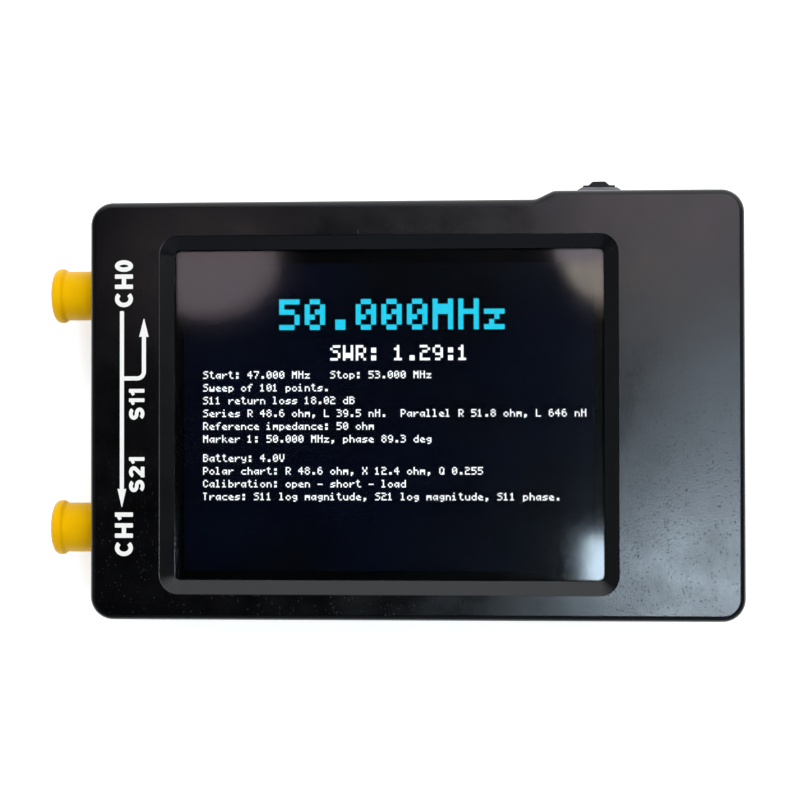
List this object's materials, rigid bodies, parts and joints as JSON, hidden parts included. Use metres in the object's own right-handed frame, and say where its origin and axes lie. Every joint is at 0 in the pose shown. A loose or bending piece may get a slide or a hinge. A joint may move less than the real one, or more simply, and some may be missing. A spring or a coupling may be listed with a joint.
{
  "type": "antenna analyzer",
  "caption": "Pocket antenna analyzer in a black two-part case with a bevelled screen window, coaxial jacks under yellow dust caps, a jog lever, a USB socket and a slide switch.",
  "frame": {"origin": "centre of the case's flat rear face, which it lies on", "axes": "+Z out of the screen, +X along the case away from the coaxial jacks, +Y towards the edge with the jog lever and the USB socket"},
  "size_m": [0.0989, 0.062, 0.017],
  "materials": {
    "case_black": "fine spark texture",
    "control_black": "moulded",
    "cap_yellow": "soft satin",
    "gold": "gold plated",
    "steel": "bright nickel",
    "dark_screw": "black oxide",
    "touch_film": "clear over a dark screen",
    "screen_glass": "polished",
    "white_moulding": "moulded",
    "insulator": "waxy",
    "board": "solder mask",
    "foam": "foam tape",
    "amber_film": "polyimide film",
    "battery_foil": "pouch foil",
    "chip": "moulded epoxy",
    "lamp_lens": "clear resin",
    "lead_red": "wire insulation",
    "lead_black": "wire insulation"
  },
  "bodies": {
    "case": {"front_shell": "case_black", "rear_shell": "case_black", "case_screw_1": "dark_screw", "case_screw_2": "dark_screw", "case_screw_3": "dark_screw", "case_screw_4": "dark_screw", "touch_panel": "touch_film", "screen_glass": "screen_glass", "backlight_tray": "white_moulding", "window_gasket": "foam", "screen_flex": "amber_film", "foam_strip_left": "foam", "foam_strip_right": "foam", "main_board": "board", "board_screw_1": "steel", "board_screw_2": "steel", "board_screw_3": "steel", "board_screw_4": "steel", "shield_can_1": "steel", "shield_can_2": "steel", "shield_can_3": "steel", "mixer_chip_1": "chip", "mixer_chip_2": "chip", "mixer_chip_3": "chip", "processor_chip": "chip", "codec_chip": "chip", "clock_chip": "chip", "crystal": "steel", "reference_oscillator": "steel", "charger_chip": "chip", "regulator_chip": "chip", "power_lamp": "lamp_lens", "charge_lamp": "lamp_lens", "battery": "battery_foil", "battery_tape": "foam", "battery_header": "white_moulding", "battery_plug": "white_moulding", "battery_lead_red": "lead_red", "battery_lead_black": "lead_black", "usb_shell": "steel", "usb_insert": "control_black", "jog_housing": "steel", "power_housing": "steel", "jack_body_0": "gold", "jack_insulator_0": "insulator", "jack_contact_0": "gold", "jack_body_1": "gold", "jack_insulator_1": "insulator", "jack_contact_1": "gold"},
    "jog_slide": {"jog_carrier": "control_black"},
    "jog_arm": {"jog_lever": "control_black"},
    "power_knob": {"power_slider": "control_black"},
    "cap_0": {"dust_cap_0": "cap_yellow"},
    "cap_1": {"dust_cap_1": "cap_yellow"}
  },
  "joints": [
    {"name": "jog_push", "type": "slide", "parent": "case", "child": "jog_slide", "axis": [0, -1, 0], "range_m": [0, 0.0005], "stiffness_N_per_m": 1000},
    {"name": "jog_tilt", "type": "hinge", "parent": "jog_slide", "child": "jog_arm", "pos_m": [0.026, 0.0248, 0.00665], "axis": [0, 0, 1], "range_deg": [-10, 10], "stiffness_Nm_per_rad": 0.02},
    {"name": "power_slide", "type": "slide", "parent": "case", "child": "power_knob", "axis": [0, -1, 0], "range_m": [0, 0.002]},
    {"name": "cap_pull_0", "type": "slide", "parent": "case", "child": "cap_0", "axis": [-1, 0, 0], "range_m": [0, 0.008]},
    {"name": "cap_pull_1", "type": "slide", "parent": "case", "child": "cap_1", "axis": [-1, 0, 0], "range_m": [0, 0.008]}
  ]
}
